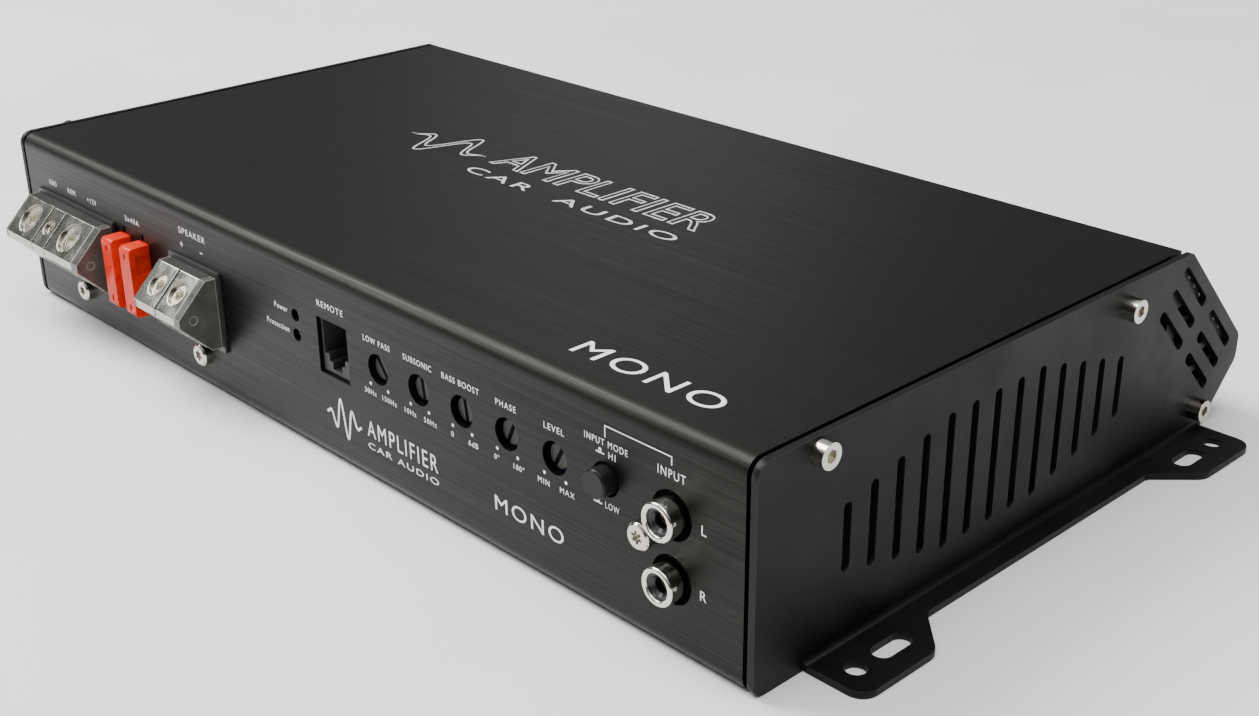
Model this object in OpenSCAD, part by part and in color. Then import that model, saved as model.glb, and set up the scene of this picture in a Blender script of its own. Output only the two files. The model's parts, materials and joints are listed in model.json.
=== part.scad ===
// Mono car amplifier: bent brushed cover, hexagonal finned nose, two end plates
// with mounting feet, angled wire terminals, blade fuses and a control panel.
// Every module is drawn with the control panel's outer face at y = 0, the depth
// along +Y and the table at z = 0; home() then moves it to the centre of the feet.

/* [Case] */
// Width of the bent cover between the end plates
case_w = 282; // [270:1:300]
// Height of the cover's top above the table
case_h = 50; // [50:1:56]
// Depth of the cover's flat top
case_d = 147.9; // [146:0.1:149]
// Thickness of the cover sheet
sheet_t = 1.8; // [1.5:0.1:2]
// Outer radius of the cover's bends
bend_r = 3.4; // [3:0.1:4]
// Gap under the cover, so that the feet carry the weight
belly_gap = 0.3; // [0.2:0.1:0.6]
// Depth of the cover's bottom return lip
lip_d = 14; // [12:1:18]

/* [End plates] */
// Thickness of the end plates and their feet
plate_t = 1.6; // [1.2:0.1:2]
// Dark gap between the cover and each end plate
plate_gap = 1.1; // [0.6:0.1:1.2]
// Distance from the panel to the tip of the hexagonal nose
nose_tip_y = 177.5; // [177:0.5:180]
// Lower and upper ends of the nose's vertical tip
nose_tip_z = [14.5, 21];
// Outer edge of the narrow flange, from the cover's centre
flange_x = 149.2; // [148:0.1:150]
// Outer edge of the foot tabs, from the cover's centre
tab_x = 158.8; // [158:0.1:161]
// Distance from the panel to the front edge of the feet
tab_y = 14.2; // [13:0.1:15]
// Length of each foot tab along its outer edge
tab_l = 22.1; // [21:0.1:24]

/* [Mounting holes] */
// Half the distance between the left and right mounting holes
hole_x = 151.6; // [151:0.1:153]
// Distance from the panel to the front round holes
hole_front_y = 20.5; // [20:0.1:21]
// Distance from the panel to the rear round holes
hole_rear_y = 155.1; // [154:0.1:156]
// Diameter of the round mounting holes and width of the slots
hole_d = 4.7; // [4:0.1:5]
// End-to-end length of each slot
slot_l = 10.5; // [9:0.1:11]
// Distance from each round hole to its slot's centre
slot_offset = 11; // [10.6:0.2:11.4]

/* [Side vents] */
// Number of upright vent slots in each end plate
vent_count = 13; // [9:2:13]
// Spacing of the upright vent slots
vent_pitch = 7.95; // [7.6:0.05:8]
// Width of the upright vent slots
vent_w = 2.5; // [2:0.1:3]
// Length of the longest upright vent slots
vent_l = 31.05; // [28:0.05:32]
// Distance from the panel to the first upright vent slot
vent_y = 25.7; // [25:0.1:27]

/* [Controls] */
// Panel position of the first knob
knob_x = 28.9; // [28:0.1:30]
// Spacing of the knobs
knob_pitch = 15; // [14.5:0.1:15]
// Height of the row of knobs
knob_z = 31; // [30:0.5:32]
// Diameter of the screwdriver-adjusted knob shafts
knob_d = 6; // [5.6:0.1:6.2]
// Diameter of the holes that the knobs are reached through
knob_hole_d = 7.5; // [7:0.1:8]
// Angle of each knob's slot at rest, clockwise from upright
knob_turn = [-36, -8, -9, 25, 30];
// Panel position of the input-mode button
button_x = 104; // [103:0.1:105]
// Height of the input-mode button
button_z = 32; // [31:0.1:33]
// Diameter of the input-mode button
button_d = 6.4; // [6:0.1:6.8]
// How far the button stands out of the panel
button_out = 3.4; // [3:0.1:4]

/* [Sockets] */
// Panel position of the two phono sockets
phono_x = 122.2; // [121:0.1:124]
// Heights of the upper and lower phono socket
phono_z = [31.3, 17.2];
// Outer diameter of a phono socket's barrel
phono_d = 8.3; // [8.2:0.05:8.4]
// How far the phono barrels stand out of the panel
phono_out = 4.3; // [4:0.1:6]
// Diameter of the dark hole around each phono barrel
phono_hole_d = 10.6; // [10:0.1:11]
// Lower corner of the modular jack's opening
jack_pos = [5.2, 23];
// Width and height of the modular jack's opening
jack_size = [12, 14.2];

/* [Terminals] */
// How far the flat tops of the terminal housings stand out of the panel
base_out = 3.8; // [3.6:0.1:4.4]
// How far the terminal noses stand out of the panel
nose_out = 12.2; // [12:0.1:12.6]
// Middle height of both terminal blocks
term_z = 25; // [24.5:0.1:25.5]
// Height of the thin flanges behind the terminals
base_h = 21.6; // [21:0.1:22]
// Centre and width of the ground block
gnd_block = [-126, 14.4];
// Centre and width of the remote block
remote_block = [-114.9, 6.8];
// Centre and width of the supply block
supply_block = [-103.2, 15.6];
// Centre and width of the two speaker blocks
speaker_plus_block = [-55.1, 9];
speaker_minus_block = [-45.5, 9];

/* [Fuses] */
// Panel positions of the two blade fuses
fuse_xs = [-85.8, -76.1];
// Middle height of the fuses
fuse_z = 24.2; // [24:0.1:24.6]
// Height, thickness and depth of a fuse's plastic head
fuse_size = [19.4, 5.2, 12.3];
// How far a fuse stands out of the panel
fuse_out = 5.9; // [5.5:0.1:6.5]

/* [Hidden] */
$fn = 64;

eps = 0.5;                                     // overshoot of every cut
root2 = sqrt(2);
home_y = (hole_front_y + hole_rear_y) / 2;     // middle of the mounting holes
half_w = case_w / 2;
plate_in = half_w + plate_gap;
plate_out = plate_in + plate_t;
rear_tab_y = 2 * home_y - tab_y;
nose_top_y = nose_tip_y - (case_h - nose_tip_z[1]);
nose_bottom_y = nose_tip_y - nose_tip_z[0];
foot_bend_r = 1.2;
base_top = belly_gap + 2 * sheet_t;            // upper face of the base plate
board_z = base_top + 6;
board_t = 1.6;
web_y = 143.5;                                 // inner face of the heatsink's upright web
web_t = 4;
fin_t = 1.8;
fin_zs = [for (z = [12 : 5 : 37]) z];
fin_gap = 3;                                   // air between the fins and the heatsink's skin
skin_inset = 2.6;                              // heatsink skin inside the end plates' outline
skin_t = 2.4;
groove_w = 1.2;
groove_pitch = 3;
groove_count = 8;
channel_pos = [159, 6.8];                      // heatsink screw channel for the rear lower screw
plate_screws = [[16.5, 46.8], [122, 44], channel_pos];
cap_head = [5.5, 3];
plate_screw_d = 2.4;                           // thread of the end plate screws
m3 = 3;
m3_hole = 3.1;
control_y = 12.4;                              // front face of the upright control board
button_hole_d = 7.6;
button_travel = 2.5;
run_gap = 0.06;                                // running clearance of turning and sliding parts
fit_gap = 0.1;
panel_screw_z = 10.3;
panel_head = [6, 2.1];
wire_y = -7;                                   // where the wire bores cross the lower slope
wire_depth = 12;
slope_mid_y = -(base_out + nose_out) / 2;
nose_half = 1.1;
slope_half = nose_half + nose_out - base_out;  // half height of a block where its slopes end
slope_mid_h = (slope_half + nose_half) / 2;
neck_half = 8.7;                               // half height of a block inside its housing
neck_step = 1;                                 // how much narrower a block is there, each side
flange_t = 0.8;
block_back = 7;
fuse_back = fuse_size[2] - fuse_out;
blade = [0.7, 5.2, 7.4];
blade_z = 7.2;
cap_t = 1.1;                                   // side plates on the left of each row
power_wall_t = 3.1;                            // side plate beside the fuses
speaker_wall_t = 2.4;

// ---------------------------------------------------------------- helpers

module home() { translate([0, -home_y, 0]) children(); }

// Draws a (y, z) outline as a solid w wide, centred on x.
module along_x(w, x = 0) {
    translate([x, 0, 0]) rotate([90, 0, 90]) linear_extrude(w, center = true) children();
}

// A round bar or cut along +Y, starting at y.
module rod_y(x, z, y, d, l) { translate([x, y, z]) rotate([-90, 0, 0]) cylinder(d = d, h = l); }

// A block between two corners.
module span(a, b) { translate(a) cube(b - a); }

function unit(v) = v / norm(v);
function at(points, i) = points[(i + len(points)) % len(points)];
// Distance from a corner to where its rounding arc starts.
function setback(points, i, r) =
    let (a = unit(at(points, i - 1) - points[i]), b = unit(at(points, i + 1) - points[i]))
    r / tan(acos(a * b) / 2);
function arc_centre(points, i, r) =
    let (a = unit(at(points, i - 1) - points[i]), b = unit(at(points, i + 1) - points[i]))
    points[i] + unit(a + b) * r / sin(acos(a * b) / 2);

// A convex outline whose corner i is rounded to radii[i].
module rounded(points, radii) {
    polygon([for (i = [0 : len(points) - 1], side = [-1, 1])
        points[i] + unit(at(points, i + side) - points[i]) * setback(points, i, radii[i])]);
    for (i = [0 : len(points) - 1]) translate(arc_centre(points, i, radii[i])) circle(r = radii[i]);
}

// A round-ended slot centred on the origin, l long over its ends, along +X.
module slot_2d(l, w) {
    square([l - w, w], center = true);
    for (s = [-1, 1]) translate([s * (l - w) / 2, 0]) circle(d = w);
}

// ---------------------------------------------------------------- case

module sheet_side(d, h, r) {
    translate([r, 0]) square([d - r, h]);
    translate([0, r]) square([2 * r, h - 2 * r]);
    for (z = [r, h - r]) translate([r, z]) circle(r = r);
}

module sheet_profile() {
    h = case_h - belly_gap;
    translate([0, belly_gap]) difference() {
        sheet_side(case_d, h, bend_r);
        translate([sheet_t, sheet_t]) sheet_side(case_d, h - 2 * sheet_t, bend_r - sheet_t);
        translate([lip_d, -eps]) square([case_d, h / 2]);
    }
}

module fuse_opening(x) {
    span([x - 2.9, -eps, fuse_z - 10.2], [x + 2.9, sheet_t + eps, fuse_z + 10.2]);
    // narrow notch above the fuse
    span([x - 0.6, -eps, fuse_z + 10], [x + 0.6, sheet_t + eps, fuse_z + 11.8]);
}

module housing_opening(x0, x1) {
    span([x0, -eps, term_z - neck_half - 0.8], [x1, sheet_t + eps, term_z + neck_half + 0.8]);
}

module cover() {
    color([0.22, 0.22, 0.22]) difference() {
        along_x(case_w) sheet_profile();
        for (i = [0 : 4]) rod_y(knob_x + i * knob_pitch, knob_z, -eps, knob_hole_d, 3);
        rod_y(button_x, button_z, -eps, button_hole_d, 3);
        for (z = phono_z) rod_y(phono_x, z, -eps, phono_hole_d, 3);
        rod_y(phono_screw_x, phono_screw_z, -eps, 3.3, 3);
        for (x = [power_mid, speaker_mid]) rod_y(x, panel_screw_z, -eps, 3.3, 3);
        for (z = led_zs) rod_y(led_x, z, -eps, 3.2, 3);
        for (x = fuse_xs) fuse_opening(x);
        housing_opening(power_x[0] + 1.6, power_x[1] - 1.6);
        housing_opening(speaker_x[0] + 1.6, speaker_x[1] - 1.6);
        span([jack_pos[0], -eps, jack_pos[1]],
            [jack_pos[0] + jack_size[0], sheet_t + eps, jack_pos[1] + jack_size[1]]);
        for (x = base_screw_xs) translate([x, 8, belly_gap - eps]) cylinder(d = 3.2, h = 4);
        for (x = base_screw_xs) translate([x, 8, belly_gap - 0.01])
            cylinder(d1 = 5.8, d2 = 3.2, h = 1.3);
    }
}

phono_screw_x = 114.7;
phono_screw_z = (phono_z[0] + phono_z[1]) / 2;
led_x = -3.8;
led_zs = [34.6, 29.5];
power_x = [gnd_block[0] - gnd_block[1] / 2 - 1.4, supply_block[0] + supply_block[1] / 2 + 4.3];
power_mid = (power_x[0] + power_x[1]) / 2;
speaker_x = [speaker_plus_block[0] - speaker_plus_block[1] / 2 - 1.8,
    speaker_minus_block[0] + speaker_minus_block[1] / 2 + 3.6];
speaker_mid = (speaker_x[0] + speaker_x[1]) / 2;
base_screw_xs = [-120, -40, 40, 120];
base_rear_y = 136;

module base_plate() {
    color([0.13, 0.13, 0.13]) difference() {
        span([-half_w + 0.5, 3.6, belly_gap + sheet_t], [half_w - 0.5, web_y - 0.2, base_top]);
        for (x = base_screw_xs, y = [8, base_rear_y]) translate([x, y, 0]) cylinder(d = m3_hole, h = 9);
        for (x = base_screw_xs) translate([x, base_rear_y, belly_gap + sheet_t - 0.01])
            cylinder(d1 = 5.8, d2 = m3_hole, h = 1.3);
    }
}

// Screws from below: countersunk in the front lip and in the base plate's rear.
module base_screws() {
    seats = [[8, belly_gap], [base_rear_y, belly_gap + sheet_t]];
    color([0.75, 0.74, 0.72]) for (x = base_screw_xs, seat = seats)
        translate([x, seat[0], seat[1] + 0.02]) difference() {
            union() {
                cylinder(d1 = 5.5, d2 = m3 - 0.1, h = 1.3);
                cylinder(d = m3 - 0.1, h = 6.4);
            }
            cylinder(d = 2.2, h = 1, $fn = 6);
        }
}

// Where the nose's two slopes and its tip lie, moved inwards by an inset: the upper slope
// as y + z, the lower slope as y - z, the tip as y.
function nose_lines(inset) = [nose_top_y + case_h - inset * root2,
    nose_bottom_y - inset * root2, nose_tip_y - inset];

// (y, z) outline of the nose behind y = front, between a floor and a ceiling.
module nose_2d(inset, front, low, high) {
    n = nose_lines(inset);
    polygon([[front, low], [n[1] + low, low], [n[2], n[2] - n[1]], [n[2], n[0] - n[2]],
        [n[0] - high, high], [front, high]]);
}

// Closed extrusion: upright web, hexagonal skin grooved outside, finned tunnel inside.
module heatsink_profile() {
    low = belly_gap + sheet_t;
    back = web_y + web_t;
    inner = nose_lines(skin_inset + skin_t);
    difference() {
        nose_2d(skin_inset, web_y, low, case_h - sheet_t - 0.05);
        nose_2d(skin_inset + skin_t, back, low + 2, inner[0] - back);
        // grooves along the outside of the skin
        for (i = [0 : groove_count - 1])
            translate([nose_top_y + 2 + i * groove_pitch, case_h - 2 - i * groove_pitch])
                rotate(-45) square([groove_w, 2 * (skin_inset + 1)], center = true);
    }
    // shelf that the base plate's rear screws hold
    span2([web_y - 13, base_top + 0.05], [web_y + eps, base_top + 4]);
    for (z = fin_zs) {
        tip = min(inner[0] - z, inner[1] + z, inner[2]) - fin_gap;
        span2([back - 1, z - fin_t / 2], [tip, z + fin_t / 2]);
    }
    translate(channel_pos) circle(d = 7.4);
}

module span2(a, b) { translate(a) square(b - a); }

module rear_heatsink() {
    color([0.16, 0.16, 0.16]) difference() {
        along_x(2 * plate_in - 0.1) difference() {
            heatsink_profile();
            translate(channel_pos) circle(d = plate_screw_d + fit_gap);
        }
        for (x = base_screw_xs) translate([x, base_rear_y, 0]) cylinder(d = m3_hole, h = 9);
        for (x = clamp_screw_xs) rod_y(x, clamp_z, web_y - eps, m3_hole, web_t - 0.1);
    }
}

// Seen from the right: (y, z) outline of an end plate.
plate_points = [[0, 0], [0, case_h], [nose_top_y, case_h], [nose_tip_y, nose_tip_z[1]],
    [nose_tip_y, nose_tip_z[0]], [nose_bottom_y, 0]];
plate_radii = [bend_r, bend_r, 2, 3, 3, 2];
vent_mid_z = 25;
vent_step = 3.94;                              // how much shorter each outer vent is
vent_flat = 2;                                 // full-length vents each side of the middle
nose_vent_l = 16.4;
nose_vent_w = 2.8;
nose_vent_rows = 3;
nose_vent_mid = [nose_top_y + 2.95, case_h - 9.3]; // middle of the uppermost slanted vent
nose_vent_step = [4.31, 14.95];                // steps down the rows and along the slope

module plate_vents_2d() {
    mid = (vent_count - 1) / 2;
    for (i = [0 : vent_count - 1]) {
        short = max(0, abs(i - mid) - vent_flat);
        translate([vent_y + i * vent_pitch, vent_mid_z]) rotate(90)
            slot_2d(vent_l - short * vent_step, vent_w);
    }
    for (row = [0 : nose_vent_rows - 1], col = [0, 1])
        translate(nose_vent_mid + [col, -col] * nose_vent_step[1] - [row, row] * nose_vent_step[0])
            rotate(-45) slot_2d(nose_vent_l, nose_vent_w);
}

// Plan of one side's foot flange: a narrow strip with a tab at each end.
module tab_2d() {
    diagonal = tab_x - flange_x;
    rounded([[plate_out, tab_y], [plate_out, tab_y + tab_l + 2 * diagonal],
        [flange_x, tab_y + tab_l + diagonal], [tab_x, tab_y + tab_l], [tab_x, tab_y]],
        [0.2, 0.2, 0.2, 4.5, 4]);
}

module foot_2d() {
    bend = plate_out + foot_bend_r;
    intersection() {
        union() {
            translate([plate_out, tab_y]) square([flange_x - plate_out, rear_tab_y - tab_y]);
            tab_2d();
            translate([0, 2 * home_y]) mirror([0, 1]) tab_2d();
        }
        translate([bend, tab_y]) square([tab_x - bend + 1, rear_tab_y - tab_y]);
    }
}

module foot_holes_2d() {
    for (y = [hole_front_y, hole_rear_y]) translate([hole_x, y]) circle(d = hole_d);
    for (y = [hole_front_y + slot_offset, hole_rear_y - slot_offset])
        translate([hole_x, y]) rotate(90) slot_2d(slot_l, hole_d - 0.1);
}

module end_plate() {
    bend_mid = plate_out + foot_bend_r;
    leg_z = plate_t + foot_bend_r;
    along_x(plate_t, plate_in + plate_t / 2) difference() {
        rounded(plate_points, plate_radii);
        plate_vents_2d();
        translate([tab_y, -eps]) square([rear_tab_y - tab_y, leg_z + eps]);
        for (p = plate_screws) translate(p) circle(d = m3_hole);
    }
    translate([0, rear_tab_y, 0]) rotate([90, 0, 0]) linear_extrude(rear_tab_y - tab_y) intersection() {
        translate([bend_mid, leg_z]) difference() {
            circle(r = plate_t + foot_bend_r);
            circle(r = foot_bend_r);
        }
        square([bend_mid, leg_z]);
    }
    linear_extrude(plate_t) difference() {
        foot_2d();
        foot_holes_2d();
    }
}

module end_plate_right() { color([0.12, 0.12, 0.12]) end_plate(); }

module end_plate_left() { color([0.12, 0.12, 0.12]) mirror([1, 0, 0]) end_plate(); }

module cap_screw(l) {
    difference() {
        cylinder(d = cap_head[0], h = cap_head[1]);
        translate([0, 0, cap_head[1] - 1.6]) cylinder(d = 2.9, h = 2, $fn = 6);
    }
    translate([0, 0, -l]) cylinder(d = plate_screw_d, h = l + 0.1);
}

module end_plate_screws() {
    color([0.8, 0.79, 0.76]) for (side = [-1, 1], p = plate_screws)
        translate([side * plate_out, p[0], p[1]]) rotate([0, side * 90, 0]) cap_screw(8);
}

// Tapped blocks under the cover's top that the upper end plate screws hold.
module corner_blocks() {
    top = case_h - sheet_t - 0.05;
    color([0.7, 0.7, 0.7]) for (side = [-1, 1], i = [0, 1]) {
        p = plate_screws[i];
        x = side * (half_w - 4.6);
        difference() {
            span([x - 5, p[0] - 5.5, p[1] - 5.5], [x + 5, p[0] + 5.5, top]);
            translate([x - 6, p[0], p[1]]) rotate([0, 90, 0]) cylinder(d = plate_screw_d + fit_gap, h = 12);
        }
    }
}

// ---------------------------------------------------------------- terminals

// (y, z) outline of an angled terminal: two 45-degree slopes meeting at a blunt nose.
module wedge_2d(inset = 0) {
    half = slope_half - inset;
    polygon([[-base_out, term_z - half], [-base_out, term_z + half],
        [-nose_out + inset, term_z + nose_half], [-nose_out + inset, term_z - nose_half]]);
}

// Axis frames on a block: local +Z points out of the hole.
module on_upper_slope(x) {
    translate([x, slope_mid_y, term_z + slope_mid_h]) rotate([45, 0, 0]) children();
}

module on_lower_slope(x) {
    translate([x, wire_y, wire_z]) rotate([135, 0, 0]) children();
}

wire_z = term_z - nose_half - (nose_out + wire_y);
// Depth from the upper slope to the wire bore's axis
wire_drop = ((term_z + slope_mid_h - slope_mid_y) - (wire_z - wire_y)) / root2;

function screw_floor(wire_d) = wire_drop - wire_d / 2 - 0.4;

module terminal(block, screw_d, wire_d) {
    x = block[0];
    difference() {
        union() {
            along_x(block[1], x) wedge_2d();
            span([x - block[1] / 2 + neck_step, -base_out - 0.1, term_z - neck_half],
                [x + block[1] / 2 - neck_step, block_back, term_z + neck_half]);
        }
        on_upper_slope(x) translate([0, 0, -screw_floor(wire_d)]) cylinder(d = screw_d, h = 12);
        on_upper_slope(x) translate([0, 0, -wire_drop]) cylinder(d = tip_d(wire_d) + 0.2, h = wire_drop);
        on_lower_slope(x) translate([0, 0, -wire_depth]) cylinder(d = wire_d, h = wire_depth + 2);
    }
}

function tip_d(wire_d) = wire_d * 0.45;

// Set screw with a hex socket and a slim pressing tip that ends at the wire bore's wall.
module set_screw(x, screw_d, wire_d, recess, hex) {
    body_h = 2.4;
    tip_end = wire_drop - wire_d / 2;
    on_upper_slope(x) difference() {
        union() {
            translate([0, 0, -recess - body_h]) cylinder(d = screw_d - 2 * run_gap, h = body_h);
            translate([0, 0, -tip_end]) cylinder(d = tip_d(wire_d), h = tip_end - recess - 0.5);
        }
        translate([0, 0, -recess - 1.6]) cylinder(d = hex, h = 3, $fn = 6);
    }
}

big_wire = 6.5;
speaker_wire = 4.6;
remote_wire = 3.2;
big_screw = 8.8;
speaker_screw_d = 6.4;
remote_screw_d = 4.4;
nickel = [0.82, 0.81, 0.78];

module gnd_terminal() { color(nickel) terminal(gnd_block, big_screw, big_wire); }

module supply_terminal() { color(nickel) terminal(supply_block, big_screw, big_wire); }

module remote_terminal() { color(nickel) terminal(remote_block, remote_screw_d, remote_wire); }

module speaker_plus_terminal() { color(nickel) terminal(speaker_plus_block, speaker_screw_d, speaker_wire); }

module speaker_minus_terminal() { color(nickel) terminal(speaker_minus_block, speaker_screw_d, speaker_wire); }

module gnd_screw() { color(nickel) set_screw(gnd_block[0], big_screw, big_wire, 0.8, 4.4); }

module supply_screw() { color(nickel) set_screw(supply_block[0], big_screw, big_wire, 0.8, 4.4); }

module remote_screw() { color(nickel) set_screw(remote_block[0], remote_screw_d, remote_wire, 0.8, 2.3); }

module speaker_plus_screw() { color(nickel) set_screw(speaker_plus_block[0], speaker_screw_d, speaker_wire, 0.8, 3.2); }

module speaker_minus_screw() { color(nickel) set_screw(speaker_minus_block[0], speaker_screw_d, speaker_wire, 0.8, 3.2); }

function block_edge(block, side) = block[0] + side * block[1] / 2;

// Black base: thin flange, flat-topped hood behind the blocks, neck through the panel,
// rear plate with the screw boss, thin walls between the blocks and a window for each block.
module housing(xs, blocks, mid) {
    base_half = base_h / 2;
    window = neck_half + fit_gap;
    neck_h = neck_half + 0.6;
    wall = neck_step - fit_gap;
    hood_x = [block_edge(blocks[0], -1), block_edge(blocks[len(blocks) - 1], 1)];
    difference() {
        union() {
            span([xs[0], -flange_t, term_z - base_half], [xs[1], -0.02, term_z + base_half]);
            span([hood_x[0], -base_out, term_z - slope_half],
                [hood_x[1], -flange_t + 0.1, term_z + slope_half]);
            span([xs[0] + 1.8, -0.1, term_z - neck_h], [xs[1] - 1.8, sheet_t + 0.2, term_z + neck_h]);
            span([xs[0] - 0.4, sheet_t + 0.05, 6.4], [xs[1] + 0.4, 6, term_z + base_half]);
        }
        for (b = blocks) span([block_edge(b, -1) + wall, -base_out - eps, term_z - window],
            [block_edge(b, 1) - wall, 6 + eps, term_z + window]);
        rod_y(mid, panel_screw_z, 0, 2.7, 5);
    }
    for (i = [0 : 1 : len(blocks) - 2]) {
        gap_mid = (block_edge(blocks[i], 1) + block_edge(blocks[i + 1], -1)) / 2;
        along_x(block_edge(blocks[i + 1], -1) - block_edge(blocks[i], 1) - fit_gap, gap_mid) wedge_2d(0.7);
    }
}

module power_housing() {
    color([0.07, 0.07, 0.07]) housing(power_x, [gnd_block, remote_block, supply_block], power_mid);
}

module speaker_housing() {
    color([0.07, 0.07, 0.07]) housing(speaker_x, [speaker_plus_block, speaker_minus_block], speaker_mid);
}

// Side plate against a row's end block, from the flange to the nose, with a shallow round
// mark on its outer face.
module end_cap(block, side, t) {
    x = block_edge(block, side) + side * (fit_gap + t / 2);
    half = slope_half - fit_gap;
    difference() {
        along_x(t, x) {
            wedge_2d(fit_gap);
            span2([-base_out, term_z - half], [-flange_t - 0.05, term_z + half]);
        }
        translate([x + side * t / 2, slope_mid_y, term_z]) rotate([0, 90, 0])
            cylinder(d = 2.2, h = 0.3, center = true);
    }
}

module power_end_caps() {
    color([0.1, 0.1, 0.1, 0.8]) {
        end_cap(gnd_block, -1, cap_t);
        end_cap(supply_block, 1, power_wall_t);
    }
}

module speaker_end_caps() {
    color([0.25, 0.25, 0.22, 0.7]) {
        end_cap(speaker_plus_block, -1, cap_t);
        end_cap(speaker_minus_block, 1, speaker_wall_t);
    }
}

module panel_screw(x, z, l) {
    difference() {
        union() {
            rod_y(x, z, -panel_head[1] + 0.5, panel_head[0], panel_head[1] - 0.52);
            translate([x, -panel_head[1] + 0.5, z]) rotate([90, 0, 0])
                cylinder(d1 = panel_head[0], d2 = panel_head[0] - 1, h = 0.5);
            rod_y(x, z, -0.1, 2.6, l);
        }
        // six-lobed recess
        rod_y(x, z, -panel_head[1] - 0.1, 1.9, 1.2);
        for (turn = [0, 60, 120]) translate([x, -panel_head[1], z]) rotate([0, turn + 20, 0])
            cube([2.9, 2, 0.7], center = true);
    }
}

module terminal_mount_screws() {
    color(nickel) for (x = [power_mid, speaker_mid]) panel_screw(x, panel_screw_z, 4.6);
}

// ---------------------------------------------------------------- fuses

module fuse_head(x) {
    half_h = fuse_size[0] / 2;
    half_t = fuse_size[1] / 2;
    recess = [0.7, 5.2, 5.2];                  // two hollows in each broad side
    corners = [[-half_h, 0], [half_h, 0], [half_h, fuse_size[2]], [-half_h, fuse_size[2]]];
    color([0.9, 0.25, 0.12]) difference() {
        translate([x, -fuse_out, fuse_z]) rotate([0, 90, 0]) linear_extrude(fuse_size[1], center = true)
            rounded(corners, [1.3, 1.3, 0.4, 0.4]);
        for (side = [-1, 1], end = [-1, 1])
            translate([x + side * half_t, -fuse_out + 1.9 + recess[1] / 2, fuse_z + end * 4.7])
                cube([2 * recess[0], recess[1], recess[2]], center = true);
        // test openings in the outer face
        for (side = [-1, 1]) translate([x, -fuse_out, fuse_z + side * blade_z])
            cube([1, 1.2, 1.6], center = true);
    }
}

module fuse_blades(x) {
    color([0.75, 0.75, 0.72]) for (side = [-1, 1])
        span([x - blade[0] / 2, fuse_back, fuse_z + side * blade_z - blade[1] / 2],
            [x + blade[0] / 2, fuse_back + blade[2], fuse_z + side * blade_z + blade[1] / 2]);
}

module fuse_1_head() { fuse_head(fuse_xs[0]); }

module fuse_1_blades() { fuse_blades(fuse_xs[0]); }

module fuse_2_head() { fuse_head(fuse_xs[1]); }

module fuse_2_blades() { fuse_blades(fuse_xs[1]); }

holder_z = [fuse_z - 11.6, fuse_z + 11.2];
clip = [2.6, 5.9, 9];

module fuse_holder() {
    color([0.08, 0.08, 0.08]) difference() {
        span([fuse_xs[0] - 4.4, sheet_t + 0.05, holder_z[0]],
            [fuse_xs[1] + 4.4, fuse_back + 12, holder_z[1]]);
        for (x = fuse_xs) {
            span([x - fuse_size[1] / 2 - 0.3, 0, fuse_z - fuse_size[0] / 2 - 0.4],
                [x + fuse_size[1] / 2 + 0.3, fuse_back + 0.3, fuse_z + fuse_size[0] / 2 + 0.4]);
            for (side = [-1, 1]) translate([x, fuse_back + 0.2, fuse_z + side * blade_z])
                span([-clip[0] / 2 - 0.05, 0, -clip[1] / 2 - 0.05],
                    [clip[0] / 2 + 0.05, clip[2] + 0.1, clip[1] / 2 + 0.05]);
        }
    }
}

// Forked spring contacts that grip the fuse blades.
module fuse_clips() {
    color([0.8, 0.7, 0.4]) for (x = fuse_xs, side = [-1, 1])
        translate([x, fuse_back + 0.3, fuse_z + side * blade_z]) difference() {
            span([-clip[0] / 2, 0, -clip[1] / 2], [clip[0] / 2, clip[2], clip[1] / 2]);
            span([-blade[0] / 2 - 0.05, -eps, -blade[1] / 2 - 0.1],
                [blade[0] / 2 + 0.05, blade[2] + 0.3, blade[1] / 2 + 0.1]);
        }
}

// ---------------------------------------------------------------- sockets and lamps

module phono_block() {
    color([0.06, 0.06, 0.06]) difference() {
        span([phono_screw_x - 4.2, sheet_t + 0.05, phono_z[1] - 6.6],
            [phono_x + 6.6, control_y - 0.1, phono_z[0] + 6.6]);
        for (z = phono_z) {
            rod_y(phono_x, z, 0, phono_hole_d, 4.4);
            rod_y(phono_x, z, 0, phono_neck_d + fit_gap, 9);
        }
        rod_y(phono_screw_x, phono_screw_z, 0, 2.7, 9);
    }
}

phono_bore = 5.7;
lip_r = 0.55;                                  // rounding of a barrel's front edges
phono_neck_d = phono_d - 0.4;                  // the barrels are slimmer behind the panel
phono_back = 8.4;                              // rear ends of the sockets' parts
insulator_y = -3.5;
contact_d = 4.2;
contact_y = -1.2;                              // front end of the contact tubes
pin_d = 3.2;

module phono_barrels() {
    wall = (phono_d - phono_bore) / 2;
    lip = [[0, 0], [wall, 0], [wall, phono_out], [0, phono_out]];
    color([0.85, 0.85, 0.82]) for (z = phono_z) {
        translate([phono_x, -phono_out, z]) rotate([-90, 0, 0]) rotate_extrude()
            translate([phono_bore / 2, 0]) rounded(lip, [lip_r, lip_r, 0.05, 0.05]);
        difference() {
            rod_y(phono_x, z, -0.2, phono_neck_d, phono_back + 0.2);
            rod_y(phono_x, z, -1, phono_bore, phono_back + 2);
        }
    }
}

module phono_insulators() {
    color([0.12, 0.12, 0.13]) for (z = phono_z) difference() {
        rod_y(phono_x, z, insulator_y, phono_bore - 0.04, phono_back - insulator_y);
        rod_y(phono_x, z, -phono_out, pin_d + fit_gap, phono_out + 9);
        translate([phono_x, insulator_y - 0.01, z]) rotate([-90, 0, 0])
            cylinder(d1 = pin_d + 1.4, d2 = pin_d + fit_gap, h = 0.7);
        rod_y(phono_x, z, contact_y - 0.05, contact_d + 0.06, 10);
    }
}

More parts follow.
